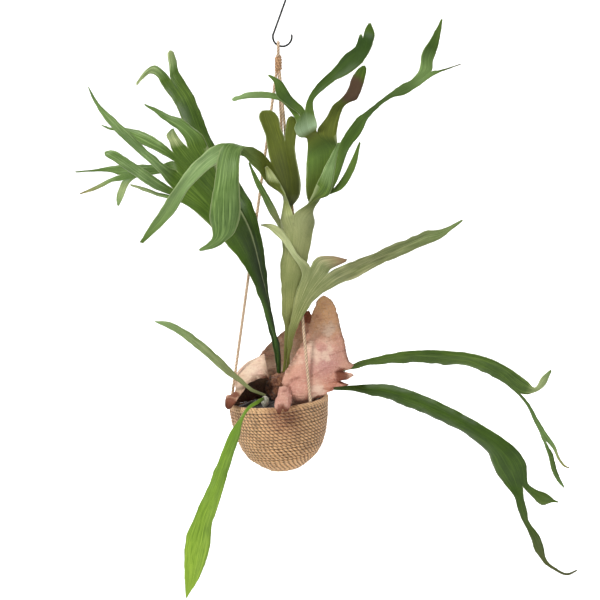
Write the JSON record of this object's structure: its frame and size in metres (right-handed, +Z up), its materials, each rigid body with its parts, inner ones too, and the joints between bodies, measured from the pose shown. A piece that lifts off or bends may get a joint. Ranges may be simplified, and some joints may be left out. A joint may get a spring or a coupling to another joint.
{
  "type": "staghorn fern in a hanging jute basket",
  "caption": "Staghorn fern with eight forked fronds and brown shield fronds in a coiled jute basket, hung on three jute cords from an S-hook.",
  "frame": {"origin": "inside of the S-hook's upper bend, the point that the basket hangs from", "axes": "+Z up along the cords, -Y toward the side that the fronds face, +X to its right"},
  "size_m": [0.7603, 0.2363, 0.8961],
  "materials": {
    "steel": "dark drawn wire, satin",
    "cord_jute": "plied jute cord, matt",
    "basket_jute": "coiled jute rope, matt",
    "moss": "dark moss and bark, rough",
    "rhizome_fur": "brown scales, rough",
    "frond_green": "green leaf, satin",
    "frond_dark_green": "dark green leaf, satin",
    "frond_olive": "olive, felted underside",
    "frond_young": "yellow-green leaf, satin",
    "shield_brown": "dry papery brown",
    "bud_white": "white felt"
  },
  "bodies": {
    "root": {"s_hook": "steel", "cord_loop": "cord_jute", "cord_knot": "cord_jute", "cord_right": "cord_jute", "cord_back": "cord_jute", "cord_left": "cord_jute", "basket": "basket_jute", "basket_rim": "basket_jute", "root_ball": "moss", "rhizome": "rhizome_fur", "pup": "bud_white", "frond_rear_left": "frond_dark_green", "frond_left": "frond_green", "frond_center": "frond_olive", "frond_lower_right": "frond_olive", "frond_right_upper": "frond_dark_green", "frond_right_lower": "frond_dark_green", "frond_young_up": "frond_young", "frond_young_down": "frond_young", "shield_frond_right": "shield_brown", "shield_frond_front": "shield_brown", "shield_frond_left": "shield_brown", "shield_frond_back": "shield_brown"}
  },
  "joints": []
}
